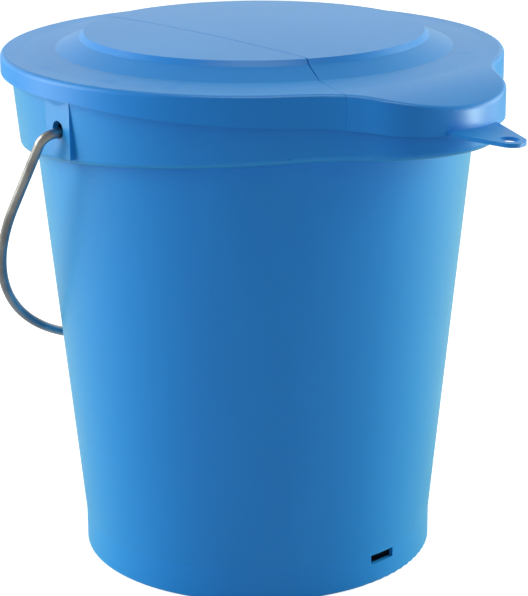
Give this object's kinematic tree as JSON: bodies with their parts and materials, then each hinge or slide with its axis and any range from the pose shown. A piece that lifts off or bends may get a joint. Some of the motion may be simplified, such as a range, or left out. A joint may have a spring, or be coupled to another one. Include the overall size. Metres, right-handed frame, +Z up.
{
  "type": "wash bucket",
  "caption": "Round tapered bucket with a pouring spout, a lift-off lid with a folding side flap and hanging tab, and a bent-wire bail.",
  "frame": {"origin": "middle of the foot ring, on the floor", "axes": "+Z up along the wall's axis, -Y towards the spout, X along the bail's pivot axis"},
  "size_m": [0.3388, 0.4021, 0.3524],
  "materials": {
    "bucket_plastic": "semi-gloss moulded polypropylene, blue all through",
    "lid_plastic": "satin moulded polypropylene, the same blue, a little paler on top",
    "bail_wire": "drawn stainless steel wire, softly brushed"
  },
  "bodies": {
    "bucket": {"bucket": "bucket_plastic"},
    "bail": {"bail": "bail_wire"},
    "lid": {"lid": "lid_plastic"},
    "lid_flap": {"lid_flap": "lid_plastic"}
  },
  "joints": [
    {"name": "bail_pivot", "type": "hinge", "parent": "bucket", "child": "bail", "pos_m": [0, 0, 0.3046], "axis": [1, 0, 0], "range_deg": [0, 228]},
    {"name": "lid_lift", "type": "slide", "parent": "bucket", "child": "lid", "axis": [0, 0, 1], "range_m": [0, 0.15]},
    {"name": "flap_fold", "type": "hinge", "parent": "lid", "child": "lid_flap", "pos_m": [-0.042, 0, 0.3528], "axis": [0, 1, 0], "range_deg": [0, 110]}
  ]
}
